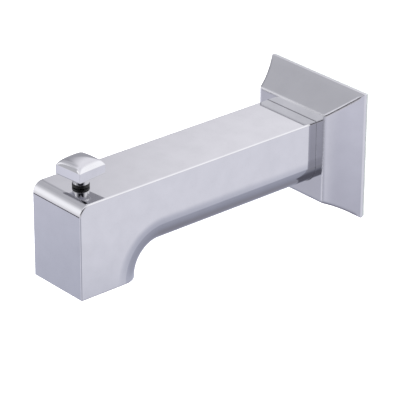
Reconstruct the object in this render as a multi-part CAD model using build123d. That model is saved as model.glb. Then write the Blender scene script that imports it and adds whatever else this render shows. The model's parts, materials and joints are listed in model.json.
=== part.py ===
from build123d import *
import os

# Bath spout with a pull-up diverter knob and a square wall flange.
# The finished wall is the plane y = 0. The spout points to -Y, +Z is up and +X is to the
# right of someone who faces the wall. The inlet runs along the Y axis. Lengths are in
# millimetres, and a name that ends in _reach is a distance out from the wall.

# Spout body, a hollow casting
spout_reach = 200.0
spout_width = 43.0
spout_top = 22.25
spout_height = 41.75
nose_height = 57.75
nose_depth = 44.5
underside_arc = 15.25
lower_edge_round = 13.0
nose_top_round = 6.75
edge_round = 0.8
cast_wall = 2.5
body_rear_reach = 3.0
bulkhead_reach = 25.0
bulkhead_thickness = 4.0

# Wall flange, its grip ring and the gasket behind it
plate_side = 80.0
plate_thickness = 1.8
gasket_thickness = 1.4
gasket_inset = 0.3
gasket_band = 7.0
flange_reach = 23.5
flange_front_width = 56.0
flange_front_height = 56.75
flange_slope_sag = 0.8
flange_wall = 2.2
flange_side_wall = 1.6
flange_to_body_gap = 0.1
grip_ring_band = 2.4
grip_ring_depth = 2.6
grip_collar_wall = 1.4

# Inlet adapter on the inlet axis, with the sealing washer and the nut that hold it
inlet_reach = 12.0
inlet_bore = 19.0
inlet_bore_depth = 12.0
inlet_washer_diameter = 20.0
inlet_washer_thickness = 2.0
waterway_bore = 12.5
adapter_hex = 27.0
adapter_spigot = 23.0
adapter_end_reach = 50.0
adapter_nut_hex = 30.0
adapter_nut_thickness = 6.0

# Waterway tube with an O-ring at each end
tube_diameter = 15.0
tube_wall = 1.0
tube_socket_depth = 10.0
o_ring_section = 1.5
o_ring_slack = 0.02
o_ring_side_play = 0.3

# Diverter valve inside the nose
diverter_setback = 17.5
lift_travel = 10.0
seat_height = 10.5
seat_bore = 11.0
cup_diameter = 23.0
cup_wall = 2.0
cup_floor_thickness = 2.5
cup_depth = 19.0
cup_inlet_diameter = 20.0
cup_inlet_bore = 11.0
cup_inlet_length = 9.0
cap_thickness = 3.5
cap_spigot_depth = 2.0
cap_spigot_wall = 1.4
guide_ring_diameter = 7.6
guide_ring_height = 2.0
guide_arm_width = 1.6
guide_arm_count = 3
strap_width = 9.0
strap_thickness = 2.0
strap_end_gap = 0.8
strap_corner_round = 2.2
cup_stub_diameter = 6.0
strap_boss_diameter = 6.4
strap_boss_height = 8.0
strap_boss_gap = 0.6
screw_diameter = 3.0
screw_length = 8.0
screw_head_diameter = 5.4
screw_head_height = 1.8
screw_head_round = 0.8

# Lift rod, its bushing and the plunger
rod_diameter = 4.0
rod_running_gap = 0.08
rod_tail_diameter = 3.0
rod_tail_below_nut = 0.7
tail_running_gap = 0.05
bushing_diameter = 8.0
bushing_flange_diameter = 12.0
bushing_flange_thickness = 2.0
bushing_groove_height = 1.6
stem_ring_section = 1.3
rest_ring_diameter = 10.0
rest_ring_bore = 5.2
rest_ring_height = 2.1
rest_ring_round = 0.6
retainer_diameter = 8.0
retainer_thickness = 0.8
plunger_washer_diameter = 14.5
plunger_washer_thickness = 2.0
plunger_disc_diameter = 12.5
plunger_disc_thickness = 2.0
plunger_nut_hex = 6.0
plunger_nut_thickness = 2.8

# Lift knob, turned a little on its rod
knob_side = 19.5
knob_side_height = 5.6
knob_dome_rise = 3.75
knob_crown_radius = 60.0
knob_turn = 5.0
knob_dome_degree = 20
hub_height = 5.65
hub_foot_diameter = 9.4
hub_head_diameter = 10.2
hub_flare_height = 1.6
hub_flare_sag = 0.12
knob_socket_depth = 4.0

# Outlet insert in the mouth of the nose
outlet_recess = 2.0
outlet_plate_thickness = 2.4
outlet_width = 27.0
outlet_length = 25.0
outlet_corner_round = 5.0
outlet_lip_height = 3.0
outlet_lip_wall = 1.6

# Places worked out from the sizes above
rod_y = diverter_setback - spout_reach
spout_underside = spout_top - spout_height
nose_bottom = spout_top - nose_height
nose_rear_y = nose_depth - spout_reach
ceiling = spout_top - cast_wall
cup_floor = seat_height - cup_depth
cup_base = cup_floor - cup_floor_thickness
cup_bore_radius = cup_diameter / 2 - cup_wall
washer_near_reach = inlet_reach + inlet_bore_depth
washer_far_reach = washer_near_reach + inlet_washer_thickness
tube_rear_reach = adapter_end_reach - tube_socket_depth
cup_inlet_reach = -rod_y - cup_diameter / 2 - cup_inlet_length
tube_front_reach = cup_inlet_reach + tube_socket_depth
rear_groove_reach = adapter_end_reach - tube_socket_depth / 2
front_groove_reach = cup_inlet_reach + tube_socket_depth / 2
o_ring_groove_width = o_ring_section + 2 * o_ring_side_play
o_ring_radius = tube_diameter / 2 + o_ring_section / 2 + o_ring_slack
groove_radius = tube_diameter / 2 + o_ring_section + 2 * o_ring_slack
washer_top = seat_height - lift_travel
washer_base = washer_top - plunger_washer_thickness
disc_base = washer_base - plunger_disc_thickness
plunger_nut_base = disc_base - plunger_nut_thickness
retainer_top = washer_top + retainer_thickness
hub_foot = spout_top + rest_ring_height
knob_underside = hub_foot + hub_height
knob_shoulder = knob_underside + knob_side_height
rod_top = knob_underside + knob_socket_depth
strap_half_length = spout_width / 2 - cast_wall - strap_end_gap
boss_x = cup_diameter / 2 + strap_boss_gap + strap_boss_diameter / 2
bushing_bore_radius = rod_diameter / 2 + rod_running_gap
stem_groove_radius = rod_diameter / 2 + stem_ring_section + 2 * o_ring_slack
stem_groove_base = ceiling - bushing_groove_height / 2

UPRIGHT = (Align.CENTER, Align.CENTER, Align.MIN)
TOUCH = 1e-4
SAME_EDGE = 1.0
CUT_PAST = 1.0


def block(x_range, y_range, z_range):
    """A rectangular block between two values on each axis."""
    size = [high - low for low, high in (x_range, y_range, z_range)]
    middle = [(low + high) / 2 for low, high in (x_range, y_range, z_range)]
    return Pos(*middle) * Box(*size)


def disc(diameter, low, high):
    """A round slab about the lift rod's axis, from one height to another."""
    return Pos(0, rod_y, low) * Cylinder(diameter / 2, high - low, align=UPRIGHT)


def inlet_extrusion(outline, near, far):
    """An outline centred on the inlet axis, drawn out between two reaches from the wall."""
    return extrude(Plane.XZ.offset(near) * outline, amount=far - near)


def inlet_round(diameter, near, far):
    """A round bar on the inlet axis between two reaches from the wall."""
    return inlet_extrusion(Circle(diameter / 2), near, far)


def slice_between(near, far):
    """A slab across the whole spout between two reaches from the wall."""
    half = plate_side
    return block((-half, half), (-far, -near), (-half, half))


def side_outline(inset, rear_y, bottom):
    """The spout seen from the side, with every wall moved in by inset."""
    front = inset - spout_reach
    top = spout_top - inset
    under = spout_underside + inset
    heel = nose_rear_y - inset
    top_radius = nose_top_round - inset
    arc_y = nose_rear_y + underside_arc
    arc_z = spout_underside - underside_arc
    edges = [
        Line((rear_y, top), (front + top_radius, top)),
        CenterArc((front + top_radius, top - top_radius), top_radius, 90, 90),
        Line((front, top - top_radius), (front, bottom)),
        Line((front, bottom), (heel, bottom)),
        Line((heel, bottom), (heel, arc_z)),
        CenterArc((arc_y, arc_z), underside_arc + inset, 180, -90),
        Line((arc_y, under), (rear_y, under)),
        Line((rear_y, under), (rear_y, top)),
    ]
    return make_face([Plane.YZ * edge for edge in edges])


def spout_form(inset=0.0, rear_reach=body_rear_reach, bottom=nose_bottom):
    """The spout as one solid form. A positive inset gives its hollow, a negative one a sleeve."""
    half_width = spout_width / 2 - inset
    form = extrude(side_outline(inset, -rear_reach, bottom), amount=half_width, both=True)
    side_edges = [
        edge
        for edge in form.edges()
        if abs(abs(edge.center().X) - half_width) < TOUCH
        and edge.center().Y < -rear_reach - TOUCH
        and edge.center().Z > bottom + TOUCH
    ]
    lower = [
        edge
        for edge in side_edges
        if edge.center().Y > nose_rear_y - inset - TOUCH
        and edge.center().Z < spout_underside + inset + TOUCH
    ]
    upper = [edge for edge in side_edges if edge not in lower]
    form = fillet(lower, lower_edge_round - inset)
    if inset < edge_round:
        upper_centres = [edge.center() for edge in upper]
        upper = [
            edge
            for edge in form.edges()
            if any((edge.center() - centre).length < SAME_EDGE for centre in upper_centres)
        ]
        form = fillet(upper, edge_round - inset)
    return form


def strap_boss(side):
    """The boss on a side wall of the nose that takes one strap screw."""
    wall_x = spout_width / 2 - cast_wall / 2
    boss = Pos(boss_x, rod_y, cup_base) * Cylinder(
        strap_boss_diameter / 2, strap_boss_height, align=UPRIGHT
    )
    web = block(
        (boss_x, wall_x),
        (rod_y - strap_boss_diameter / 2, rod_y + strap_boss_diameter / 2),
        (cup_base, cup_base + strap_boss_height),
    )
    hole = Pos(boss_x, rod_y, cup_base) * Cylinder(
        screw_diameter / 2, screw_length - strap_thickness, align=UPRIGHT
    )
    shaped = boss + web - hole
    return shaped if side > 0 else mirror(shaped, about=Plane.YZ)


def spout_body():
    """The hollow casting with its bulkhead, screw bosses and the hole for the rod's bushing."""
    hollow = spout_form(cast_wall, body_rear_reach - CUT_PAST, nose_bottom - CUT_PAST)
    body = spout_form() - hollow
    bulkhead_end = bulkhead_reach + bulkhead_thickness
    body += hollow & slice_between(bulkhead_reach, bulkhead_end)
    body -= inlet_round(adapter_spigot, bulkhead_reach - CUT_PAST, bulkhead_end + CUT_PAST)
    for side in (-1, 1):
        body += strap_boss(side)
    return body - disc(bushing_diameter, ceiling - CUT_PAST, spout_top + CUT_PAST)


def flared_form(front_half_width, front_half_height, front_reach, rear_half, rear_reach):
    """Four hollow-curved slopes that widen from the front to a square and meet on sharp ridges."""

    def outline(front_half, view):
        front_right = (front_half, -front_reach)
        rear_right = (rear_half, -rear_reach)
        rear_left = (-rear_half, -rear_reach)
        front_left = (-front_half, -front_reach)
        edges = [
            Line(front_left, front_right),
            SagittaArc(front_right, rear_right, flange_slope_sag),
            Line(rear_right, rear_left),
            SagittaArc(rear_left, front_left, flange_slope_sag),
        ]
        return make_face([view * edge for edge in edges])

    upright_view = Plane(origin=(0, 0, 0), x_dir=(0, 0, 1), z_dir=(-1, 0, 0))
    across = extrude(outline(front_half_width, Plane.XY), amount=rear_half + CUT_PAST, both=True)
    upright = extrude(outline(front_half_height, upright_view), amount=rear_half + CUT_PAST, both=True)
    return across & upright


def wall_flange():
    """The hollow square flange: front face, four slopes, thin square rim and a collar inside."""
    rim_front = gasket_thickness + plate_thickness
    half = plate_side / 2
    outer = flared_form(
        flange_front_width / 2, flange_front_height / 2, flange_reach, half, rim_front
    )
    outer += block((-half, half), (-rim_front, -gasket_thickness), (-half, half))
    hollow = flared_form(
        flange_front_width / 2 - flange_side_wall,
        flange_front_height / 2 - flange_side_wall,
        flange_reach - flange_wall,
        half - flange_wall,
        gasket_thickness,
    )
    collar_front = flange_reach - flange_wall
    collar = spout_form(-grip_ring_band - grip_collar_wall) & slice_between(
        collar_front - grip_ring_depth, collar_front
    )
    collar -= spout_form(-grip_ring_band)
    return outer - hollow + collar - spout_form(-flange_to_body_gap)


def flange_grip_ring():
    """The soft ring inside the collar that holds the flange on the spout."""
    front = flange_reach - flange_wall
    ring = spout_form(-grip_ring_band) & slice_between(front - grip_ring_depth, front)
    return ring - spout_form()


def wall_gasket():
    """The flat frame of soft rubber between the flange's rim and the wall."""
    half = plate_side / 2 - gasket_inset
    window = half - gasket_band
    thickness = (-gasket_thickness, 0)
    frame = block((-half, half), thickness, (-half, half))
    return frame - block((-window, window), (-gasket_thickness - CUT_PAST, CUT_PAST), (-window, window))


def o_ring_groove(middle_reach):
    """The round groove in a tube socket that an O-ring sits in."""
    half = o_ring_groove_width / 2
    return inlet_round(2 * groove_radius, middle_reach - half, middle_reach + half)


def tube_o_ring(middle_reach):
    """An O-ring round the waterway tube."""
    ring = Torus(o_ring_radius, o_ring_section / 2)
    return Pos(0, -middle_reach, 0) * Rot(90, 0, 0) * ring


def inlet_adapter():
    """The brass adapter: threaded inlet, hexagon behind the bulkhead and a socket for the tube."""
    hexagon = RegularPolygon(adapter_hex / 2, 6, major_radius=False, rotation=30)
    adapter = inlet_extrusion(hexagon, inlet_reach, bulkhead_reach)
    adapter += inlet_round(adapter_spigot, bulkhead_reach, adapter_end_reach)
    adapter -= inlet_round(inlet_bore, inlet_reach - CUT_PAST, washer_near_reach)
    adapter -= inlet_round(inlet_washer_diameter, washer_near_reach, washer_far_reach)
    adapter -= inlet_round(waterway_bore, inlet_reach, adapter_end_reach)
    adapter -= inlet_round(tube_diameter, tube_rear_reach, adapter_end_reach + CUT_PAST)
    return adapter - o_ring_groove(rear_groove_reach)


def inlet_washer():
    """The flat rubber washer in its seat at the bottom of the inlet thread."""
    washer = inlet_round(inlet_washer_diameter, washer_near_reach, washer_far_reach)
    return washer - inlet_round(waterway_bore, washer_near_reach - CUT_PAST, washer_far_reach + CUT_PAST)


def adapter_nut():
    """The thin nut that draws the adapter against the bulkhead."""
    start = bulkhead_reach + bulkhead_thickness
    end = start + adapter_nut_thickness
    hexagon = RegularPolygon(adapter_nut_hex / 2, 6, major_radius=False)
    hole = inlet_round(adapter_spigot, start - CUT_PAST, end + CUT_PAST)
    return inlet_extrusion(hexagon, start, end) - hole


def waterway_tube():
    """The straight copper tube from the adapter to the valve cup."""
    bore = tube_diameter - 2 * tube_wall
    tube = inlet_round(tube_diameter, tube_rear_reach, tube_front_reach)
    return tube - inlet_round(bore, tube_rear_reach - CUT_PAST, tube_front_reach + CUT_PAST)


def valve_cup():
    """The brass cup in which the plunger rises, with its inlet socket and locating stub."""
    cup = disc(cup_diameter, cup_base, seat_height)
    cup += inlet_round(cup_inlet_diameter, cup_inlet_reach, -rod_y)
    cup += disc(cup_stub_diameter, cup_base - strap_thickness, cup_base)
    cup -= disc(2 * cup_bore_radius, cup_floor, seat_height + CUT_PAST)
    cup -= inlet_round(cup_inlet_bore, cup_inlet_reach, -rod_y)
    cup -= inlet_round(tube_diameter, cup_inlet_reach - CUT_PAST, tube_front_reach)
    return cup - o_ring_groove(front_groove_reach)


def seat_cap():
    """The cap with the valve seat underneath and a three-armed guide for the rod on top."""
    top = seat_height + cap_thickness
    cap = disc(cup_diameter, seat_height, top)
    cap -= disc(seat_bore, seat_height - CUT_PAST, top + CUT_PAST)
    spigot_bore = 2 * (cup_bore_radius - cap_spigot_wall)
    spigot_low = seat_height - cap_spigot_depth
    cap += disc(2 * cup_bore_radius, spigot_low, seat_height) - disc(
        spigot_bore, spigot_low - CUT_PAST, seat_height + CUT_PAST
    )
    guide_low = top - guide_ring_height
    arm = block(
        (0, seat_bore / 2 + CUT_PAST),
        (-guide_arm_width / 2, guide_arm_width / 2),
        (guide_low, top),
    )
    for number in range(guide_arm_count):
        cap += Pos(0, rod_y, 0) * Rot(0, 0, 90 + 360 / guide_arm_count * number) * arm
    cap += disc(guide_ring_diameter, guide_low, top)
    return cap - disc(2 * bushing_bore_radius, guide_low - CUT_PAST, top + CUT_PAST)


def cup_strap():
    """The flat strap under the cup, screwed to the two bosses of the nose."""
    low = cup_base - strap_thickness
    strap = block(
        (-strap_half_length, strap_half_length),
        (rod_y - strap_width / 2, rod_y + strap_width / 2),
        (low, cup_base),
    )
    strap = fillet(strap.edges().filter_by(Axis.Z), strap_corner_round)
    strap -= disc(cup_stub_diameter, low - CUT_PAST, cup_base + CUT_PAST)
    for side in (-1, 1):
        strap -= Pos(side * boss_x, 0, 0) * disc(screw_diameter, low - CUT_PAST, cup_base + CUT_PAST)
    return strap


def strap_screw(side):
    """One round-headed screw that holds the strap to its boss."""
    seat = cup_base - strap_thickness
    shank = disc(screw_diameter, seat, seat + screw_length)
    head = disc(screw_head_diameter, seat - screw_head_height, seat)
    head = fillet(head.edges().sort_by(Axis.Z)[0], screw_head_round)
    return Pos(side * boss_x, 0, 0) * (shank + head)


def stem_bushing():
    """The brass bushing in the top wall, flanged below it, with a groove for the stem O-ring."""
    bushing = disc(bushing_diameter, ceiling, spout_top)
    flange_base = ceiling - bushing_flange_thickness
    bushing += disc(bushing_flange_diameter, flange_base, ceiling)
    bushing -= disc(2 * bushing_bore_radius, flange_base - CUT_PAST, spout_top + CUT_PAST)
    return bushing - disc(
        2 * stem_groove_radius, stem_groove_base, stem_groove_base + bushing_groove_height
    )


def stem_o_ring():
    """The small O-ring that seals the rod in its bushing."""
    middle = stem_groove_base + bushing_groove_height / 2
    radius = rod_diameter / 2 + stem_ring_section / 2 + o_ring_slack
    return Pos(0, rod_y, middle) * Torus(radius, stem_ring_section / 2)


def rest_ring():
    """The black rubber ring on the spout's top that the knob's hub rests on."""
    ring = disc(rest_ring_diameter, spout_top, hub_foot)
    ring = fillet(ring.edges().filter_by(GeomType.CIRCLE), rest_ring_round)
    return ring - disc(rest_ring_bore, spout_top - CUT_PAST, hub_foot + CUT_PAST)


def knob_dome():
    """The knob's slightly crowned top, which rolls down steeply to four straight edges."""
    last = knob_dome_degree
    spacing = knob_side / last
    # The surface lies this much below the middle of the net of points that shapes it.
    sink = knob_side ** 2 / (4 * last * knob_crown_radius)

    def net_point(row, column):
        x = row * spacing - knob_side / 2
        y = column * spacing - knob_side / 2
        inside = 0 < row < last and 0 < column < last
        crown = knob_dome_rise + sink - (x ** 2 + y ** 2) / (2 * knob_crown_radius)
        return Vector(x, y, crown if inside else 0)

    rows = range(last + 1)
    return Face.make_bezier_surface([[net_point(row, column) for column in rows] for row in rows])


def lift_knob():
    """The square pull knob with its domed top and round hub, bored for the rod."""
    dome = knob_dome()
    sides = [Face.extrude(edge, (0, 0, -knob_side_height)) for edge in dome.edges()]
    underside = Pos(0, 0, -knob_side_height) * Rectangle(knob_side, knob_side).face()
    head = Solid(Shell([dome, *sides, underside]))
    hub_outline = make_face(
        [
            Line((0, 0), (hub_foot_diameter / 2, 0)),
            Line((hub_foot_diameter / 2, 0), (hub_foot_diameter / 2, hub_height - hub_flare_height)),
            SagittaArc(
                (hub_foot_diameter / 2, hub_height - hub_flare_height),
                (hub_head_diameter / 2, hub_height),
                hub_flare_sag,
            ),
            Line((hub_head_diameter / 2, hub_height), (0, hub_height)),
            Line((0, hub_height), (0, 0)),
        ]
    )
    hub = revolve(Plane.XZ * hub_outline, Axis.Z)
    knob = Pos(0, rod_y, knob_shoulder) * Rot(0, 0, knob_turn) * head
    knob += Pos(0, rod_y, hub_foot) * hub
    return knob - disc(rod_diameter, hub_foot - CUT_PAST, rod_top)


def lift_rod():
    """The steel rod with a thinner tail that carries the plunger."""
    tail_end = plunger_nut_base - rod_tail_below_nut
    return disc(rod_diameter, retainer_top, rod_top) + disc(rod_tail_diameter, tail_end, retainer_top)


def tail_washer(diameter, low, high):
    """A flat round piece in which the rod's tail turns freely."""
    hole_diameter = rod_tail_diameter + 2 * tail_running_gap
    return disc(diameter, low, high) - disc(hole_diameter, low - CUT_PAST, high + CUT_PAST)


def plunger_nut():
    """The small nut under the plunger."""
    outline = RegularPolygon(plunger_nut_hex / 2, 6, major_radius=False)
    blank = extrude(Pos(0, rod_y, plunger_nut_base) * outline, amount=plunger_nut_thickness)
    return blank - disc(rod_tail_diameter, plunger_nut_base - CUT_PAST, disc_base + CUT_PAST)


def outlet_insert():
    """The moulded plate in the nose's mouth that gathers the falling water."""
    low = nose_bottom + outlet_recess
    top = low + outlet_plate_thickness
    hollow = spout_form(cast_wall, body_rear_reach - CUT_PAST, nose_bottom - CUT_PAST)
    nose_span = (-spout_reach, nose_rear_y)
    plate = hollow & block((-spout_width, spout_width), nose_span, (low, top))
    middle_y = (nose_rear_y - spout_reach) / 2
    opening = RectangleRounded(outlet_width, outlet_length, outlet_corner_round)
    lip_outline = RectangleRounded(
        outlet_width + 2 * outlet_lip_wall,
        outlet_length + 2 * outlet_lip_wall,
        outlet_corner_round + outlet_lip_wall,
    )
    plate += extrude(Pos(0, middle_y, top) * lip_outline, amount=outlet_lip_height)
    through = outlet_plate_thickness + outlet_lip_height + 2 * CUT_PAST
    return plate - extrude(Pos(0, middle_y, low - CUT_PAST) * opening, amount=through)


def all_parts():
    """Every piece by its name."""
    return {
        "spout_body": spout_body(),
        "wall_flange": wall_flange(),
        "wall_gasket": wall_gasket(),
        "flange_grip_ring": flange_grip_ring(),
        "inlet_adapter": inlet_adapter(),
        "inlet_washer": inlet_washer(),
        "adapter_nut": adapter_nut(),
        "waterway_tube": waterway_tube(),
        "tube_o_ring_rear": tube_o_ring(rear_groove_reach),
        "tube_o_ring_front": tube_o_ring(front_groove_reach),
        "valve_cup": valve_cup(),
        "seat_cap": seat_cap(),
        "cup_strap": cup_strap(),
        "strap_screw_left": strap_screw(-1),
        "strap_screw_right": strap_screw(1),
        "stem_bushing": stem_bushing(),
        "stem_o_ring": stem_o_ring(),
        "rest_ring": rest_ring(),
        "outlet_insert": outlet_insert(),
        "lift_knob": lift_knob(),
        "lift_rod": lift_rod(),
        "washer_retainer": tail_washer(retainer_diameter, washer_top, retainer_top),
        "plunger_washer": tail_washer(plunger_washer_diameter, washer_base, washer_top),
        "plunger_disc": tail_washer(plunger_disc_diameter, disc_base, washer_base),
        "plunger_nut": plunger_nut(),
    }


os.makedirs("parts", exist_ok=True)
for name, shape in all_parts().items():
    export_step(shape, f"parts/{name}.step")
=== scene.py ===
"""Looks of a chrome bath spout with a pull-up diverter knob and a square wall flange.

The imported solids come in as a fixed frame. The finished wall is the plane y = 0, the spout points
to -Y, +Z is up and the inlet runs along the Y axis. Lengths are metres unless a name ends in _mm,
and a name that ends in _deg is an angle in degrees. A reach is a distance out from the wall.
"""

import json
import logging
import math
from dataclasses import dataclass
from enum import Enum

import bmesh
import bpy
import numpy as np
from mathutils import Matrix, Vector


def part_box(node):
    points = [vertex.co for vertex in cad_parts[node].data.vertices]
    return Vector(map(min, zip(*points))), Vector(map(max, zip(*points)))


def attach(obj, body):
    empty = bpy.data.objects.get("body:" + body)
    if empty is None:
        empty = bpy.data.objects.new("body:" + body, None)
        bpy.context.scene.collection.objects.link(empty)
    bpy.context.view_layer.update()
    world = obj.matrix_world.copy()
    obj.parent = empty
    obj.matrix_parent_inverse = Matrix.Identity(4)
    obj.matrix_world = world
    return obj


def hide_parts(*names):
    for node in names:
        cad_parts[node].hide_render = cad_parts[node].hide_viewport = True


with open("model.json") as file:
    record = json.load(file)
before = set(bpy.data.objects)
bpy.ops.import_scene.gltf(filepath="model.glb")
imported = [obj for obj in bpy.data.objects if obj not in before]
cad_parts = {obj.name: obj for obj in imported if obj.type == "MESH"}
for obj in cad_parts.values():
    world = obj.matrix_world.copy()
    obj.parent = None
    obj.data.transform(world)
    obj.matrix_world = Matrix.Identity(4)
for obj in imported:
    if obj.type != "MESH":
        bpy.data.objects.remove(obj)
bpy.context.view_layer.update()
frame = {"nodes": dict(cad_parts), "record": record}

LOG = logging.getLogger("bath_spout")
MM = 0.001
MERGE_REACH = 1e-7
SLIVER_REACH = 1e-8
# A noise's value is nearly always between these two.
NOISE_LOW, NOISE_HIGH = 0.3, 0.7
Colour = tuple[float, float, float, float]
Stops = tuple[tuple[float, str], ...]


class Slot(Enum):
    """The record's material slots, by what each is made of."""

    CHROME = "chrome_plate"
    GASKET = "gasket_rubber"
    SEAL = "seal_rubber"
    BRASS = "plain_brass"
    STEEL = "plain_steel"
    PLASTIC = "moulded_plastic"


class Body(Enum):
    """The moving bodies of the spout."""

    SPOUT = "spout"
    PLUNGER = "plunger"
    KNOB = "knob"


class LatheAxis(Enum):
    """The axis that a piece was turned about, which its tool marks go round."""

    INLET = "Y"
    ROD = "Z"


def linear(hex_colour: str) -> Colour:
    """Turns an sRGB hex colour into the linear colour that a shader takes.

    Args:
        hex_colour: Six hex digits, such as "CECED0".

    Returns:
        Red, green and blue, and an alpha of one.
    """
    parts = np.array([int(hex_colour[i:i + 2], 16) for i in (0, 2, 4)]) / 255
    light = np.where(parts <= 0.04045, parts / 12.92, ((parts + 0.055) / 1.055) ** 2.4)
    red, green, blue = (float(part) for part in light)
    return red, green, blue, 1.0


def per_metre(feature_mm: float) -> float:
    """The texture scale that gives features of a real size.

    Args:
        feature_mm: The size of one feature in millimetres.

    Returns:
        Features in one metre.
    """
    return 1 / (feature_mm * MM)


def add_node(
    tree: bpy.types.NodeTree,
    kind: str,
    inputs: dict | None = None,
    **settings: object,
) -> bpy.types.Node:
    """Adds one node to a tree with its settings and its links.

    Args:
        tree: The node tree.
        kind: The node's type, such as "ShaderNodeTexNoise".
        inputs: Values by input name or number. A socket is linked, and anything else is set.
        settings: The node's own properties.

    Returns:
        The new node.
    """
    node = tree.nodes.new(kind)
    for name, value in settings.items():
        setattr(node, name, value)
    for key, value in (inputs or {}).items():
        if isinstance(value, bpy.types.NodeSocket):
            tree.links.new(value, node.inputs[key])
        else:
            node.inputs[key].default_value = value
    return node


def fill_ramp(ramp: bpy.types.ColorRamp, stops: Stops) -> None:
    """Puts colours at places on a colour ramp.

    Args:
        ramp: The ramp.
        stops: A place from 0 to 1 and an sRGB hex colour for each stop, in rising order.
    """
    while len(ramp.elements) > 1:
        ramp.elements.remove(ramp.elements[-1])
    ramp.elements[0].position = stops[0][0]
    ramp.elements[0].color = linear(stops[0][1])
    for place, hex_colour in stops[1:]:
        ramp.elements.new(place).color = linear(hex_colour)


def grid_faces(rows: int, columns: int, wrap_rows: bool, wrap_columns: bool) -> np.ndarray:
    """Corner numbers for each cell of a grid of points stored row by row.

    Args:
        rows: Number of rows of points.
        columns: Number of points in a row.
        wrap_rows: Whether the last row joins the first.
        wrap_columns: Whether each row's last point joins its first.

    Returns:
        One line of four corner numbers for each cell.
    """
    row = np.arange(rows if wrap_rows else rows - 1)
    column = np.arange(columns if wrap_columns else columns - 1)
    row, column = np.meshgrid(row, column, indexing="ij")
    next_row = (row + 1) % rows
    next_column = (column + 1) % columns
    corners = (
        row * columns + column,
        row * columns + next_column,
        next_row * columns + next_column,
        next_row * columns + column,
    )
    return np.stack([corner.ravel() for corner in corners], axis=1)


def close_and_turn_out(mesh: bpy.types.Mesh) -> None:
    """Merges doubled points, such as a pole's, and turns all faces outwards.

    Args:
        mesh: A mesh that is closed once its doubled points are merged.
    """
    work = bmesh.new()
    work.from_mesh(mesh)
    bmesh.ops.remove_doubles(work, verts=work.verts, dist=MERGE_REACH)
    bmesh.ops.dissolve_degenerate(work, edges=work.edges, dist=SLIVER_REACH)
    bmesh.ops.recalc_face_normals(work, faces=work.faces)
    work.to_mesh(mesh)
    work.free()


def surface(
    name: str,
    points: np.ndarray,
    wrap_rows: bool = False,
    wrap_columns: bool = False,
    sharp_deg: float = 35.0,
) -> bpy.types.Object:
    """Makes a closed piece from a grid of points.

    Args:
        name: The piece's name.
        points: Places in an array of rows by columns by three, in metres.
        wrap_rows: Whether the last row joins the first.
        wrap_columns: Whether each row's last point joins its first.
        sharp_deg: An edge that turns by more than this stays sharp.

    Returns:
        The new object, at the origin and linked to the scene.
    """
    rows, columns = points.shape[:2]
    quads = grid_faces(rows, columns, wrap_rows, wrap_columns)
    mesh = bpy.data.meshes.new(name)
    mesh.from_pydata(points.reshape(-1, 3), [], quads.tolist())
    close_and_turn_out(mesh)
    mesh.shade_smooth()
    mesh.set_sharp_from_angle(angle=math.radians(sharp_deg))
    piece = bpy.data.objects.new(name, mesh)
    bpy.context.scene.collection.objects.link(piece)
    return piece


def fit_piece(
    piece: bpy.types.Object,
    material: bpy.types.Material,
    body: Body,
    replaced: str | None = None,
) -> None:
    """Gives a new piece its finish and its place in the moving model, and reports it.

    Args:
        piece: The piece.
        material: Its finish.
        body: The body that it moves with.
        replaced: The solid that it stands for, if it stands for one.
    """
    piece.data.materials.append(material)
    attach(piece, body.value)
    if replaced:
        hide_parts(replaced)
    LOG.info("%s: %d faces, rides on %s", piece.name, len(piece.data.polygons), body.value)


def dress(node: str, material: bpy.types.Material) -> None:
    """Gives a carried-over solid its finish, and reports it.

    Args:
        node: The solid's name.
        material: The finish for all of its faces.
    """
    for slot in frame["nodes"][node].material_slots:
        slot.material = material
    LOG.info("%s: dressed in %s", node, material.name)


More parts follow.
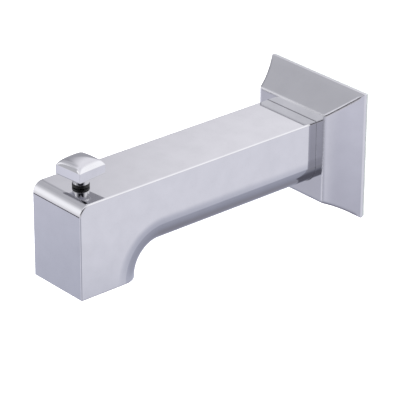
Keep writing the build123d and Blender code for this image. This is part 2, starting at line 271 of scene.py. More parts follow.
@dataclass(frozen=True)
class Finish:
    """What all finishes share: a name, and a shader built on the object's own coordinates."""

    name: str

    def build(self) -> bpy.types.Material:
        """Builds the material.

        Returns:
            The material, with its shader joined to its output.
        """
        material = bpy.data.materials.new(self.name)
        material.use_nodes = True
        tree = material.node_tree
        tree.nodes.clear()
        place = add_node(tree, "ShaderNodeTexCoord").outputs["Object"]
        add_node(tree, "ShaderNodeOutputMaterial", {"Surface": self.shader(tree, place)})
        return material

    def shader(self, tree: bpy.types.NodeTree, place: bpy.types.NodeSocket) -> bpy.types.NodeSocket:
        """The finish's shader.

        Args:
            tree: The material's node tree.
            place: Where on the object, in metres.

        Returns:
            The shader's output socket.
        """
        raise NotImplementedError

    def noise(
        self,
        tree: bpy.types.NodeTree,
        place: bpy.types.NodeSocket,
        size_mm: float,
        detail: float = 2.0,
    ) -> bpy.types.NodeSocket:
        """Uneven patches of a real size.

        Args:
            tree: The material's node tree.
            place: Where on the object, in metres.
            size_mm: The size of a patch.
            detail: How many finer layers the patches hold.

        Returns:
            A value from 0 to 1, mostly near a half.
        """
        inputs = {"Vector": place, "Scale": per_metre(size_mm), "Detail": detail}
        return add_node(tree, "ShaderNodeTexNoise", inputs).outputs["Fac"]

    def between(
        self,
        tree: bpy.types.NodeTree,
        amount: bpy.types.NodeSocket,
        low: float,
        high: float,
    ) -> bpy.types.NodeSocket:
        """Spreads the usual range of a noise over two values.

        Args:
            tree: The material's node tree.
            amount: The noise.
            low: The value where the noise is low.
            high: The value where it is high.

        Returns:
            The value's socket.
        """
        inputs = {
            "Value": amount, "From Min": NOISE_LOW, "From Max": NOISE_HIGH, "To Min": low, "To Max": high,
        }
        return add_node(tree, "ShaderNodeMapRange", inputs).outputs["Result"]

    def coloured(
        self,
        tree: bpy.types.NodeTree,
        amount: bpy.types.NodeSocket,
        low: str,
        high: str,
        start: float = NOISE_LOW,
    ) -> bpy.types.NodeSocket:
        """Spreads the usual range of a noise over two colours.

        Args:
            tree: The material's node tree.
            amount: The noise.
            low: The sRGB hex colour where the noise is low.
            high: The sRGB hex colour where it is high.
            start: The noise's value up to which the first colour stays.

        Returns:
            The colour's socket.
        """
        ramp = add_node(tree, "ShaderNodeValToRGB", {"Fac": amount})
        fill_ramp(ramp.color_ramp, ((start, low), (NOISE_HIGH, high)))
        return ramp.outputs["Color"]

    def bumped(
        self,
        tree: bpy.types.NodeTree,
        height: bpy.types.NodeSocket,
        depth_mm: float,
        normal: bpy.types.NodeSocket | None = None,
    ) -> bpy.types.NodeSocket:
        """Relief of a real depth.

        Args:
            tree: The material's node tree.
            height: The relief, from 0 to 1.
            depth_mm: How deep the full range is.
            normal: The surface's direction before this relief, where something changed it already.

        Returns:
            The new direction's socket.
        """
        inputs = {"Height": height, "Distance": depth_mm * MM}
        if normal:
            inputs["Normal"] = normal
        return add_node(tree, "ShaderNodeBump", inputs).outputs["Normal"]


@dataclass(frozen=True)
class ChromePlate(Finish):
    """Bright chrome over nickel, electroplated on a cast and buffed body.

    It mirrors what is round it. Buffing leaves shallow waves of a few millimetres and a faint
    haze that differs from place to place. They soften far reflections and leave near ones crisp.
    Plating rounds every edge by a few tenths of a millimetre, which gives each a fine glint.
    """

    dull_tint: str = "CCCCCF"
    clear_tint: str = "D0D0D3"
    clear_roughness: float = 0.03
    hazy_roughness: float = 0.07
    haze_mm: float = 11.0
    wave_mm: float = 16.0
    wave_depth_mm: float = 0.004
    edge_round_mm: float = 0.6
    edge_samples: int = 8

    def shader(self, tree: bpy.types.NodeTree, place: bpy.types.NodeSocket) -> bpy.types.NodeSocket:
        """A metal mirror with haze, waves and softened edges.

        Args:
            tree: The material's node tree.
            place: Where on the object, in metres.

        Returns:
            The shader's output socket.
        """
        haze = self.noise(tree, place, self.haze_mm, detail=4.0)
        inputs = {"Radius": self.edge_radius(tree, place)}
        edge = add_node(tree, "ShaderNodeBevel", inputs, samples=self.edge_samples)
        wave = self.noise(tree, place, self.wave_mm, detail=1.0)
        inputs = {
            "Base Color": self.coloured(tree, haze, self.clear_tint, self.dull_tint),
            "Metallic": 1.0,
            "Roughness": self.between(tree, haze, self.clear_roughness, self.hazy_roughness),
            "Normal": self.bumped(
                tree, wave, self.wave_depth_mm, self.buffed(tree, place, edge.outputs["Normal"]),
            ),
        }
        return add_node(tree, "ShaderNodeBsdfPrincipled", inputs).outputs["BSDF"]

    def edge_radius(
        self, tree: bpy.types.NodeTree, place: bpy.types.NodeSocket,
    ) -> bpy.types.NodeSocket | float:
        """How far from an edge the rounding reaches, in metres: here the same all over."""
        return self.edge_round_mm * MM

    def buffed(
        self, tree: bpy.types.NodeTree, place: bpy.types.NodeSocket, normal: bpy.types.NodeSocket,
    ) -> bpy.types.NodeSocket:
        """The surface's direction once buffing has worn it: here no different."""
        return normal


@dataclass(frozen=True)
class SpoutChrome(ChromePlate):
    """The same plate on the cast spout, where buffing blends the flat sides into the lower rounds.

    The blend is too shallow for the mesh, but in a mirror it darkens a band above the rounds.
    """

    underside_mm: float = -19.5
    nose_rear_mm: float = -155.5
    underside_arc_mm: float = 15.25
    lower_round_mm: float = 13.0
    blend_below_mm: float = 4.5
    blend_above_mm: float = 5.6
    blend_depth_mm: float = 0.2

    def buffed(
        self, tree: bpy.types.NodeTree, place: bpy.types.NodeSocket, normal: bpy.types.NodeSocket,
    ) -> bpy.types.NodeSocket:
        """The surface's direction, turned a little downwards where the side meets the round.

        The distance to the underside is the length of the two distances past the middle of its
        concave arc, each no less than zero, less the arc's radius. The relief is a smooth step of it.

        Args:
            tree: The material's node tree.
            place: Where on the object, in metres.
            normal: The surface's direction before buffing.

        Returns:
            The new direction's socket.
        """
        middle = (
            0.0,
            (self.nose_rear_mm + self.underside_arc_mm) * MM,
            (self.underside_mm - self.underside_arc_mm) * MM,
        )
        inputs = {0: place, 1: middle}
        past = add_node(tree, "ShaderNodeVectorMath", inputs, operation="SUBTRACT").outputs[0]
        inputs = {0: past, 1: (0.0, -1.0, 1.0)}
        past = add_node(tree, "ShaderNodeVectorMath", inputs, operation="MULTIPLY").outputs[0]
        inputs = {0: past, 1: (0.0, 0.0, 0.0)}
        past = add_node(tree, "ShaderNodeVectorMath", inputs, operation="MAXIMUM").outputs[0]
        length = add_node(tree, "ShaderNodeVectorMath", {0: past}, operation="LENGTH").outputs["Value"]
        start = self.underside_arc_mm + self.lower_round_mm
        inputs = {
            "Value": length,
            "From Min": (start - self.blend_below_mm) * MM, "From Max": (start + self.blend_above_mm) * MM,
        }
        step = add_node(tree, "ShaderNodeMapRange", inputs, interpolation_type="SMOOTHSTEP")
        return self.bumped(tree, step.outputs["Result"], self.blend_depth_mm, normal)


@dataclass(frozen=True)
class FlangeChrome(ChromePlate):
    """The same plate on the zinc flange, whose ridges are buffed rounder than its rim and opening."""

    ridge_round_mm: float = 2.5
    plate_half_mm: float = 40.0
    ridge_start_mm: float = 25.0
    ridge_end_mm: float = 39.0
    ridge_fade_share: float = 0.02

    def edge_radius(
        self, tree: bpy.types.NodeTree, place: bpy.types.NodeSocket,
    ) -> bpy.types.NodeSocket | float:
        """How far from an edge the rounding reaches, further in the square band of the slopes.

        Args:
            tree: The material's node tree.
            place: Where on the object, in metres.

        Returns:
            The reach's socket, in metres.
        """
        parts = add_node(tree, "ShaderNodeSeparateXYZ", {0: place}).outputs
        across, upward = (
            add_node(tree, "ShaderNodeMath", {0: part}, operation="ABSOLUTE").outputs[0]
            for part in (parts["X"], parts["Z"])
        )
        widest = add_node(tree, "ShaderNodeMath", {0: across, 1: upward}, operation="MAXIMUM").outputs[0]
        inputs = {"Value": widest, "From Max": self.plate_half_mm * MM}
        share = add_node(tree, "ShaderNodeMapRange", inputs).outputs["Result"]
        band = add_node(tree, "ShaderNodeValToRGB", {"Fac": share})
        start, end = self.ridge_start_mm / self.plate_half_mm, self.ridge_end_mm / self.plate_half_mm
        fade = self.ridge_fade_share
        fill_ramp(band.color_ramp, (
            (start, "000000"), (start + fade, "FFFFFF"), (end - fade, "FFFFFF"), (end, "000000"),
        ))
        inputs = {
            "Value": band.outputs["Color"],
            "To Min": self.edge_round_mm * MM, "To Max": self.ridge_round_mm * MM,
        }
        return add_node(tree, "ShaderNodeMapRange", inputs).outputs["Result"]


@dataclass(frozen=True)
class DullSurface(Finish):
    """Rubber, foam or paint: dull, with a fine grain and patches of slightly uneven colour."""

    dark: str
    light: str
    roughness: float
    grain_mm: float
    grain_depth_mm: float
    patch_mm: float = 5.0

    def shader(self, tree: bpy.types.NodeTree, place: bpy.types.NodeSocket) -> bpy.types.NodeSocket:
        """A dull surface with grain.

        Args:
            tree: The material's node tree.
            place: Where on the object, in metres.

        Returns:
            The shader's output socket.
        """
        patches = self.noise(tree, place, self.patch_mm, detail=5.0)
        grain = self.noise(tree, place, self.grain_mm, detail=3.0)
        inputs = {
            "Base Color": self.coloured(tree, patches, self.dark, self.light),
            "Roughness": self.roughness,
            "Normal": self.bumped(tree, grain, self.grain_depth_mm),
        }
        return add_node(tree, "ShaderNodeBsdfPrincipled", inputs).outputs["BSDF"]


@dataclass(frozen=True)
class TurnedMetal(Finish):
    """Metal as it comes off the lathe: fine rings round the axis and slightly uneven tarnish.

    The rings are finer than a render can show, so they are drawn as coarse as they need to show.
    """

    fresh: str
    tarnished: str
    axis: LatheAxis
    bright_roughness: float = 0.18
    dull_roughness: float = 0.34
    ring_mm: float = 0.5
    ring_depth_mm: float = 0.004
    tarnish_mm: float = 7.0
    tarnish_start: float = 0.35

    def shader(self, tree: bpy.types.NodeTree, place: bpy.types.NodeSocket) -> bpy.types.NodeSocket:
        """A ringed metal.

        Args:
            tree: The material's node tree.
            place: Where on the object, in metres.

        Returns:
            The shader's output socket.
        """
        tarnish = self.noise(tree, place, self.tarnish_mm, detail=5.0)
        inputs = {
            "Vector": place, "Scale": per_metre(self.ring_mm) / math.tau,
            "Distortion": 1.5, "Detail": 2.0,
        }
        rings = add_node(
            tree, "ShaderNodeTexWave", inputs, wave_type="BANDS", bands_direction=self.axis.value,
        )
        inputs = {
            "Base Color": self.coloured(tree, tarnish, self.fresh, self.tarnished, self.tarnish_start),
            "Metallic": 1.0,
            "Roughness": self.between(tree, tarnish, self.bright_roughness, self.dull_roughness),
            "Normal": self.bumped(tree, rings.outputs["Fac"], self.ring_depth_mm),
        }
        return add_node(tree, "ShaderNodeBsdfPrincipled", inputs).outputs["BSDF"]


@dataclass(frozen=True)
class MouldedPlastic(Finish):
    """Grey acetal from a spark-eroded mould: even colour and a fine matt grain."""

    dark: str = "4E5052"
    light: str = "5A5C5E"
    roughness: float = 0.45
    grain_mm: float = 0.4
    grain_depth_mm: float = 0.01

    def shader(self, tree: bpy.types.NodeTree, place: bpy.types.NodeSocket) -> bpy.types.NodeSocket:
        """A matt moulded surface.

        Args:
            tree: The material's node tree.
            place: Where on the object, in metres.

        Returns:
            The shader's output socket.
        """
        grain = self.noise(tree, place, self.grain_mm, detail=3.0)
        inputs = {
            "Base Color": self.coloured(tree, grain, self.dark, self.light),
            "Roughness": self.roughness,
            "Normal": self.bumped(tree, grain, self.grain_depth_mm),
        }
        return add_node(tree, "ShaderNodeBsdfPrincipled", inputs).outputs["BSDF"]


@dataclass
class Palette:
    """The materials, each built once and shared by all pieces of its kind."""

    chrome: bpy.types.Material
    spout_chrome: bpy.types.Material
    flange_chrome: bpy.types.Material
    gasket: bpy.types.Material
    seal: bpy.types.Material
    inlet_brass: bpy.types.Material
    valve_brass: bpy.types.Material
    steel: bpy.types.Material
    plastic: bpy.types.Material

    @classmethod
    def mixed(cls) -> "Palette":
        """Builds every finish.

        Returns:
            The palette.
        """
        return cls(
            # Chrome plate: a bright cool mirror. How the metal under it was made and buffed
            # shows only at its edges and where its flats meet its rounds.
            chrome=ChromePlate("chrome_on_milled_brass").build(),
            spout_chrome=SpoutChrome("chrome_on_cast_brass").build(),
            flange_chrome=FlangeChrome("chrome_on_cast_zinc").build(),
            # Cut foam: pale grey-green and dull, with cells that show as a coarse grain.
            gasket=DullSurface(
                "closed_cell_foam", dark="A9AEAC", light="B9BEBC",
                roughness=0.8, grain_mm=0.6, grain_depth_mm=0.06,
            ).build(),
            # Rubber moulded in a smooth tool: black, with a soft sheen.
            seal=DullSurface(
                "nitrile_rubber", dark="0C0C0D", light="161617",
                roughness=0.42, grain_mm=0.3, grain_depth_mm=0.008,
            ).build(),
            # Brass from the lathe: warm yellow, ringed by the tool and a little tarnished.
            inlet_brass=TurnedMetal("turned_brass", "D9B26A", "B08A4A", LatheAxis.INLET).build(),
            valve_brass=TurnedMetal("turned_valve_brass", "D9B26A", "B08A4A", LatheAxis.ROD).build(),
            # Ground steel: cool grey, with finer and shallower rings and a brighter shine.
            steel=TurnedMetal(
                "ground_stainless_steel", "C4C5C8", "A9AAAE", LatheAxis.ROD,
                bright_roughness=0.12, dull_roughness=0.25, ring_mm=0.4, ring_depth_mm=0.002,
            ).build(),
            # Moulded acetal: dark grey and matt, as the mould's grain leaves it.
            plastic=MouldedPlastic("moulded_acetal").build(),
        )


@dataclass
class SpoutShell:
    """The hollow cast spout with the moulded insert in its mouth."""

    body: str = "spout_body"
    insert: str = "outlet_insert"

    def dress(self, palette: Palette) -> None:
        """Gives the shell and its insert their finishes."""
        dress(self.body, palette.spout_chrome)
        dress(self.insert, palette.plastic)


@dataclass
class WallFlange:
    """The square flange with the soft ring that grips the spout and the foam gasket behind it."""

    flange: str = "wall_flange"
    grip_ring: str = "flange_grip_ring"
    gasket: str = "wall_gasket"

    def dress(self, palette: Palette) -> None:
        """Gives the flange, its ring and its gasket their finishes.

        Args:
            palette: The materials.
        """
        dress(self.flange, palette.flange_chrome)
        dress(self.grip_ring, palette.seal)
        dress(self.gasket, palette.gasket)


@dataclass
class InletFitting:
    """The hexagonal brass adapter with its internal thread, and what seals and holds it."""

    adapter: str = "inlet_adapter"
    nut: str = "adapter_nut"
    washer: str = "inlet_washer"
    tube: str = "waterway_tube"
    tube_rings: tuple[str, ...] = ("tube_o_ring_rear", "tube_o_ring_front")
    hex_end_reach_mm: float = 25.0
    spigot_mm: float = 23.0
    washer_seat_mm: float = 20.0
    washer_end_reach_mm: float = 26.0
    waterway_mm: float = 12.5
    socket_mm: float = 15.0
    socket_depth_mm: float = 10.0
    groove_mm: float = 18.08
    groove_width_mm: float = 2.1
    chamfer_start_mm: float = 26.0
    chamfer_deg: float = 30.0
    chamfer_rows: int = 10
    mouth_chamfer_mm: float = 1.0
    columns: int = 180
    thread_pitch_mm: float = 1.814
    thread_height_mm: float = 0.55
    thread_crest_mm: float = 0.22
    thread_root_share: float = 0.84
    thread_sunk_mm: float = 0.03
    thread_steps: int = 96

    def adapter_profile(self) -> tuple[np.ndarray, np.ndarray]:
        """The adapter's half section, as stations round its closed outline.

        Returns:
            The stations' diameters and their reaches, both in millimetres.
        """
        low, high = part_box(self.adapter)
        rear, end = -high.y / MM, -low.y / MM
        corner = (high.z - low.z) / MM
        bore, washer_near = self.thread_bore()
        slope = math.tan(math.radians(self.chamfer_deg)) / 2
        chamfer = np.linspace(self.chamfer_start_mm, corner, self.chamfer_rows)
        socket_near = end - self.socket_depth_mm
        groove_middle = end - self.socket_depth_mm / 2
        groove_near = groove_middle - self.groove_width_mm / 2
        groove_far = groove_middle + self.groove_width_mm / 2
        outline = [
            (bore + 2 * self.mouth_chamfer_mm, rear),
            *[(width, rear + (width - self.chamfer_start_mm) * slope) for width in chamfer],
            (corner, self.hex_end_reach_mm),
            (self.spigot_mm, self.hex_end_reach_mm),
            (self.spigot_mm, end),
            (self.socket_mm, end),
            (self.socket_mm, groove_far),
            (self.groove_mm, groove_far),
            (self.groove_mm, groove_near),
            (self.socket_mm, groove_near),
            (self.socket_mm, socket_near),
            (self.waterway_mm, socket_near),
            (self.waterway_mm, self.washer_end_reach_mm),
            (self.washer_seat_mm, self.washer_end_reach_mm),
            (self.washer_seat_mm, washer_near),
            (bore, washer_near),
            (bore, rear + self.mouth_chamfer_mm),
        ]
        diameters, reaches = np.array(outline).T
        return diameters, reaches

    def thread_bore(self) -> tuple[float, float]:
        """The thread's bore and the reach of its inner end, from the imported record.

        Returns:
            A diameter and a reach, both in millimetres.
        """
        mount = next(m for m in frame["record"]["mounts"] if m["kind"] == "threaded_hole")
        middle = -mount["pos_m"][1] / MM
        return 2 * mount["dims"]["r_mm"], middle + mount["dims"]["length_mm"] / 2

    def build_adapter(self) -> bpy.types.Object:
        """The adapter as a surface of revolution whose widest stations are cut by a hexagon.

        At each angle the radius is the station's own, or that of the hexagon's flat, half the
        width across flats divided by the cosine of the angle from the flat's middle, whichever is
        less. Rows run along the outline and columns round the axis.

        Returns:
            The piece.
        """
        low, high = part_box(self.adapter)
        half_flats = (high.x - low.x) / 2
        diameters, reaches = self.adapter_profile()
        angle = np.linspace(0, math.tau, self.columns, endpoint=False)
        from_flat = (angle + math.pi / 6) % (math.pi / 3) - math.pi / 6
        radius = np.minimum(diameters[:, None] * MM / 2, half_flats / np.cos(from_flat))
        points = np.stack(
            [
                radius * np.cos(angle),
                np.broadcast_to(-reaches[:, None] * MM, radius.shape),
                radius * np.sin(angle),
            ],
            axis=-1,
        )
        return surface("threaded_inlet_adapter", points, wrap_rows=True, wrap_columns=True, sharp_deg=20.0)

    def build_thread(self) -> bpy.types.Object:
        """The ridge of the half-inch thread, which winds right-handed up the bore.

        A four-cornered section is carried along a helix: its angle grows evenly while its reach
        grows by one pitch a turn. The section shrinks onto the wall over the first and last turn.

        Returns:
            The piece.
        """
        bore, inner_end = self.thread_bore()
        low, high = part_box(self.adapter)
        start = -high.y / MM + self.mouth_chamfer_mm
        half_root = self.thread_root_share * self.thread_pitch_mm / 2
        half_crest = self.thread_crest_mm / 2
        turns = (inner_end - start - 2 * half_root) / self.thread_pitch_mm
        along = np.linspace(0, turns, round(turns * self.thread_steps))
        rise = np.clip(np.minimum(along, turns - along), 0, 1) * self.thread_height_mm
        sides = np.array([-half_root, -half_crest, half_crest, half_root])
        crest = np.array([0.0, 1.0, 1.0, 0.0])
        wall = bore / 2 + self.thread_sunk_mm
        radius = wall - crest * (rise[:, None] + self.thread_sunk_mm)
        reach = start + half_root + along[:, None] * self.thread_pitch_mm + sides
        angle = along[:, None] * math.tau
        points = np.stack([radius * np.cos(angle), -reach, radius * np.sin(angle)], axis=-1)
        return surface("inlet_thread_ridge", points * MM, wrap_columns=True)

    def dress(self, palette: Palette) -> None:
        """Builds the threaded adapter and gives every piece of the inlet its finish.

        Args:
            palette: The materials.
        """
        adapter = self.build_adapter()
        fit_piece(adapter, palette.inlet_brass, Body.SPOUT, self.adapter)
        fit_piece(self.build_thread(), palette.inlet_brass, Body.SPOUT)
        dress(self.nut, palette.inlet_brass)
        dress(self.tube, palette.inlet_brass)
        for seal in (self.washer, *self.tube_rings):
            dress(seal, palette.seal)


@dataclass
class DiverterValve:
    """The valve inside the nose: cup, seat, plunger and the strap that holds them."""

    brass: tuple[str, ...] = (
        "valve_cup", "seat_cap", "washer_retainer", "plunger_disc", "plunger_nut", "stem_bushing",
    )
    rubber: tuple[str, ...] = ("plunger_washer", "stem_o_ring")
    strap: str = "cup_strap"
    screws: tuple[str, ...] = ("strap_screw_left", "strap_screw_right")
    head_height_mm: float = 1.8
    head_round_mm: float = 0.8
    head_round_rows: int = 8
    shank_mm: float = 3.0
    recess_length_mm: float = 3.2
    recess_width_mm: float = 0.75
    recess_depth_mm: float = 1.1
    recess_slope_mm: float = 0.22
    rows: int = 36
    columns: int = 120

    def recess(self, across: np.ndarray, along: np.ndarray) -> np.ndarray:
        """How deep the cross recess is below the head, as a share of its full depth.

        Each arm is the product of two smooth steps, one over its width and one over its length,
        and the cross is the larger of the two arms.

        Args:
            across: Distances from the screw's axis along X, in millimetres.
            along: Distances along Y, in millimetres.

        Returns:
            Shares from 0 to 1.
        """

        def inside(distance: np.ndarray, full: float) -> np.ndarray:
            """A smooth step from one inside a full width to zero outside it."""
            step = np.clip((full / 2 - np.abs(distance)) / self.recess_slope_mm, 0, 1)
            return step * step * (3 - 2 * step)

        one_arm = inside(across, self.recess_length_mm) * inside(along, self.recess_width_mm)
        other_arm = inside(along, self.recess_length_mm) * inside(across, self.recess_width_mm)
        return np.maximum(one_arm, other_arm)

    def build_screw(self, node: str) -> bpy.types.Object:
        """A round-headed screw with a cross recess, standing for one plain screw.

        The section is revolved about the upright axis: a flat under the head's middle, a quarter
        round at its rim, the head's side, its seat, and the shank up to its point. Over the head's
        face, the recess is then added to the height.

        Args:
            node: The plain screw's name.

        Returns:
            The piece.
        """
        low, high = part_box(node)
        middle = (low + high) / 2
        head = (high.x - low.x) / 2 / MM
        length = (high.z - low.z) / MM
        turn = np.linspace(0, math.pi / 2, self.head_round_rows)
        flat = np.linspace(0, head - self.head_round_mm, self.rows)
        radius = np.concatenate([
            flat,
            head - self.head_round_mm * (1 - np.sin(turn)),
            [head, self.shank_mm / 2, self.shank_mm / 2, 0],
        ])
        height = np.concatenate([
            np.zeros(self.rows),
            self.head_round_mm * (1 - np.cos(turn)),
            [self.head_height_mm, self.head_height_mm, length, length],
        ])
        angle = np.linspace(0, math.tau, self.columns, endpoint=False)
        across = radius[:, None] * np.cos(angle)
        along = radius[:, None] * np.sin(angle)
        upward = np.repeat(height[:, None], self.columns, axis=1)
        upward[:self.rows] += self.recess_depth_mm * self.recess(across, along)[:self.rows]
        points = np.stack([across, along, upward], axis=-1) * MM
        points += np.array([middle.x, middle.y, low.z])
        return surface(f"recessed_{node}", points, wrap_columns=True)

    def dress(self, palette: Palette) -> None:
        """Builds the screws and gives every piece of the valve its finish.

        Args:
            palette: The materials.
        """
        for node in self.screws:
            fit_piece(self.build_screw(node), palette.steel, Body.SPOUT, node)
        for node in self.brass:
            dress(node, palette.valve_brass)
        for node in self.rubber:
            dress(node, palette.seal)
        dress(self.strap, palette.steel)


@dataclass
class LiftKnob:
    """The square knob with its domed top, the rod that it pulls and the black ring it rests on."""

    knob: str = "lift_knob"
    rod: str = "lift_rod"
    ring: str = "rest_ring"

    def dress(self, palette: Palette) -> None:
        """Gives the knob, its rod and its ring their finishes.

        Args:
            palette: The materials.
        """
        dress(self.knob, palette.chrome)
        dress(self.rod, palette.steel)
        dress(self.ring, palette.seal)


@dataclass(frozen=True)
class SoftBox:
    """One soft-edged patch of light or of dark round the object.

    The azimuth is measured from +Y towards +X. Over the fade, as a share of the half sizes, the
    patch passes smoothly into what lies behind it. The tint is a share of the brightest light.
    """

    name: str
    azimuth_deg: float
    elevation_deg: float
    half_width_deg: float
    half_height_deg: float
    fade: float
    tint: str

    def mask(self, tree: bpy.types.NodeTree, direction: bpy.types.NodeSocket) -> bpy.types.NodeSocket:
        """How much of this patch is seen in a direction.

        The direction's two angles from the patch's middle are each divided by the half size, and
        the fourth root of the sum of their fourth powers is one on a rounded rectangle.

        Args:
            tree: The world's node tree.
            direction: The direction looked in.

        Returns:
            A value from 0 to 1.
        """
        azimuth = math.radians(self.azimuth_deg)
        elevation = math.radians(self.elevation_deg)
        ahead = np.array([
            math.sin(azimuth) * math.cos(elevation),
            math.cos(azimuth) * math.cos(elevation),
            math.sin(elevation),
        ])
        right = np.array([math.cos(azimuth), -math.sin(azimuth), 0.0])
        upward = np.cross(right, ahead)

        def part(axis: np.ndarray) -> bpy.types.NodeSocket:
            """The direction's part along an axis."""
            inputs = {0: direction, 1: tuple(axis)}
            return add_node(tree, "ShaderNodeVectorMath", inputs, operation="DOT_PRODUCT").outputs["Value"]

        def maths(operation: str, *values: object) -> bpy.types.NodeSocket:
            """The result of one sum on numbers or sockets."""
            return add_node(tree, "ShaderNodeMath", dict(enumerate(values)), operation=operation).outputs[0]

        sideways = maths("ARCTAN2", part(right), part(ahead))
        upwards = maths("ARCSINE", part(upward))
        wide = maths("MULTIPLY", sideways, 1 / math.radians(self.half_width_deg))
        high = maths("MULTIPLY", upwards, 1 / math.radians(self.half_height_deg))
        fourths = [maths("POWER", maths("ABSOLUTE", share), 4.0) for share in (wide, high)]
        edge = maths("POWER", maths("ADD", *fourths), 0.25)
        inputs = {
            "Value": edge, "From Min": 1 + self.fade, "From Max": 1 - self.fade,
            "To Min": 0.0, "To Max": 1.0,
        }
        seen = add_node(tree, "ShaderNodeMapRange", inputs, interpolation_type="SMOOTHSTEP")
        return seen.outputs["Result"]


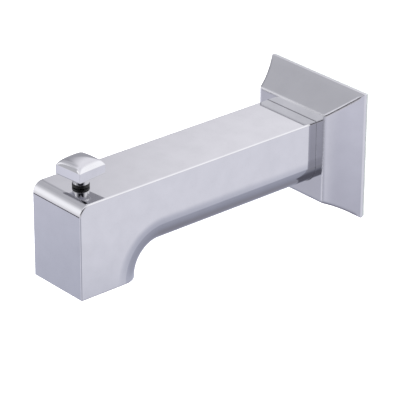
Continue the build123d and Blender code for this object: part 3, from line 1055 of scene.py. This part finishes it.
@dataclass
class Studio:
    """The soft surroundings, the pale floor, the light that falls on it, and the camera.

    Chrome shows only what is round it, so the surroundings do most of the work: the sky gives
    each height its tone, and the boxes put the photograph's lights and darks where each face of
    the spout mirrors them. Later boxes lie over earlier ones.
    """

    # Degrees above the horizon, each with its tint.
    sky: Stops = (
        (-90.0, "6C6C76"), (-60.0, "747480"), (-52.0, "7E7E88"), (-45.0, "888A97"), (-32.0, "9698A5"),
        (-28.0, "AAACB9"), (-24.5, "BFBFCB"), (-10.0, "BFBCC0"), (10.0, "7E7E82"), (22.0, "94949A"),
        (35.0, "909096"), (50.0, "E1E0E6"), (90.0, "D1D1D5"),
    )
    boxes: tuple[SoftBox, ...] = (
        SoftBox("high_left_panel", -91, 44, 18, 13, 0.6, "ABABB0"),
        SoftBox("wide_back_panel", 8, 27, 53.5, 40, 0.11, "DBDADF"),
        SoftBox("back_right_lamp", 32, 24, 38, 32, 0.5, "F4F4F6"),
        SoftBox("dim_back_left", -48, 13, 16, 9, 0.35, "98989E"),
        SoftBox("low_right_light", 66, -26, 28, 3, 0.55, "CFCFD7"),
        SoftBox("floor_at_right", 120, -32, 20, 6, 0.5, "A2A2AE"),
        SoftBox("dim_below_camera", 150, -27, 12, 10, 0.5, "929298"),
        SoftBox("dark_floor_in_front", 180, -47, 24, 11, 0.4, "62626C"),
        SoftBox("front_left_strip_lamp", -132, 11, 16, 22, 0.8, "F0F0F3"),
        SoftBox("strip_lamp_edge", -142, 14, 4.5, 22, 0.3, "AEAEB2"),
        SoftBox("small_front_lamp", -157, 26, 9, 12, 0.3, "FFFFFF"),
        SoftBox("dark_camera_side", 130, 30, 33, 20, 0.15, "202026"),
        SoftBox("gap_below_strip_lamp", -130.5, -20.5, 4, 2.6, 0.4, "202024"),
        SoftBox("low_left_shade", -133.8, -26, 1.9, 3, 0.7, "A8A8B3"),
        SoftBox("low_front_light", -157, -25, 18, 7, 0.12, "D0D0DA"),
    )
    brightest: float = 1.6
    floor_height: float = -1.6
    floor_radius: float = 30.0
    floor_columns: int = 96
    floor_rings: tuple[float, ...] = (0.0, 0.25, 0.5, 1.0)
    floor_dark: str = "F2F2F2"
    floor_light: str = "F6F6F6"
    sun_strength: float = 3.2
    sun_spread_deg: float = 80.0
    photo_side: float = 400.0
    focal_pixels: float = 2519.0
    sensor: float = 36.0
    camera_place: tuple[float, float, float] = (0.99382, -0.95672, 0.62790)
    camera_yaw_deg: float = 49.074
    camera_pitch_deg: float = -26.014
    camera_roll_deg: float = 0.279

    def build(self) -> None:
        """Builds all of the studio."""
        self.build_world()
        self.build_floor()
        self.build_sun()
        self.build_camera()

    def build_world(self) -> None:
        """A sky by elevation with the soft boxes laid over it, plain and pale to the camera."""
        world = bpy.data.worlds.new("soft_studio")
        world.use_nodes = True
        bpy.context.scene.world = world
        tree = world.node_tree
        tree.nodes.clear()
        direction = add_node(tree, "ShaderNodeTexCoord").outputs["Generated"]
        height = add_node(tree, "ShaderNodeSeparateXYZ", {0: direction}).outputs["Z"]
        elevation = add_node(tree, "ShaderNodeMath", {0: height}, operation="ARCSINE").outputs[0]
        inputs = {"Value": elevation, "From Min": -math.pi / 2, "From Max": math.pi / 2}
        share = add_node(tree, "ShaderNodeMapRange", inputs).outputs["Result"]
        ramp = add_node(tree, "ShaderNodeValToRGB", {"Fac": share})
        fill_ramp(ramp.color_ramp, tuple((degrees / 180 + 0.5, tint) for degrees, tint in self.sky))
        seen = ramp.outputs["Color"]
        for box in self.boxes:
            inputs = {"Fac": box.mask(tree, direction), "Color1": seen, "Color2": linear(box.tint)}
            seen = add_node(tree, "ShaderNodeMixRGB", inputs, label=box.name).outputs["Color"]
        lit = add_node(tree, "ShaderNodeBackground", {"Color": seen, "Strength": self.brightest})
        plain = add_node(tree, "ShaderNodeBackground", {"Color": linear("FFFFFF")})
        by_camera = add_node(tree, "ShaderNodeLightPath").outputs["Is Camera Ray"]
        inputs = {0: by_camera, 1: lit.outputs[0], 2: plain.outputs[0]}
        either = add_node(tree, "ShaderNodeMixShader", inputs)
        add_node(tree, "ShaderNodeOutputWorld", {"Surface": either.outputs[0]})

    def build_floor(self) -> None:
        """A round pale floor, far enough down that the spout can be looked at from below.

        Each ring's radius is a share of the floor's, and its points go evenly round.
        """
        angle = np.linspace(0, math.tau, self.floor_columns, endpoint=False)
        rings = np.array(self.floor_rings)[:, None] * self.floor_radius
        across, along = rings * np.cos(angle), rings * np.sin(angle)
        points = np.stack([across, along, np.full_like(across, self.floor_height)], axis=-1)
        mesh = bpy.data.meshes.new("pale_floor")
        quads = grid_faces(len(rings), self.floor_columns, False, True)
        mesh.from_pydata(points.reshape(-1, 3), [], quads.tolist())
        floor = bpy.data.objects.new("pale_floor", mesh)
        bpy.context.scene.collection.objects.link(floor)
        paint = DullSurface(
            "pale_floor_paint", dark=self.floor_dark, light=self.floor_light,
            roughness=0.9, grain_mm=40.0, grain_depth_mm=0.0, patch_mm=400.0,
        )
        mesh.materials.append(paint.build())
        floor.visible_glossy = False

    def build_sun(self) -> None:
        """A very wide light from above that brightens the floor and is not seen in the chrome."""
        light = bpy.data.lights.new("overhead_light", "SUN")
        light.energy = self.sun_strength
        light.angle = math.radians(self.sun_spread_deg)
        sun = bpy.data.objects.new("overhead_light", light)
        bpy.context.scene.collection.objects.link(sun)
        sun.visible_glossy = False

    def build_camera(self) -> None:
        """The camera, where a fit to the photograph's edges put it."""
        yaw, pitch, roll = (
            math.radians(turn)
            for turn in (self.camera_yaw_deg, self.camera_pitch_deg, self.camera_roll_deg)
        )
        ahead = np.array([
            -math.sin(yaw) * math.cos(pitch), math.cos(yaw) * math.cos(pitch), math.sin(pitch),
        ])
        level = np.array([math.cos(yaw), math.sin(yaw), 0.0])
        upright = np.cross(level, ahead)
        right = math.cos(roll) * level + math.sin(roll) * upright
        upward = math.cos(roll) * upright - math.sin(roll) * level
        data = bpy.data.cameras.new("photo_camera")
        data.sensor_width = self.sensor
        data.lens = self.sensor * self.focal_pixels / self.photo_side
        data.clip_end = 60.0
        camera = bpy.data.objects.new("photo_camera", data)
        turn = Matrix(np.column_stack([right, upward, -ahead]).tolist()).to_4x4()
        camera.matrix_world = Matrix.Translation(self.camera_place) @ turn
        bpy.context.scene.collection.objects.link(camera)
        bpy.context.scene.camera = camera


def main() -> None:
    """Builds the spout's looks in order, then the studio."""
    logging.basicConfig(level=logging.INFO, format="%(name)s: %(message)s")
    bpy.context.scene.view_settings.view_transform = "Standard"
    palette = Palette.mixed()
    for assembly in (SpoutShell(), WallFlange(), InletFitting(), DiverterValve(), LiftKnob()):
        assembly.dress(palette)
    Studio().build()


if __name__ == "__main__":
    main()
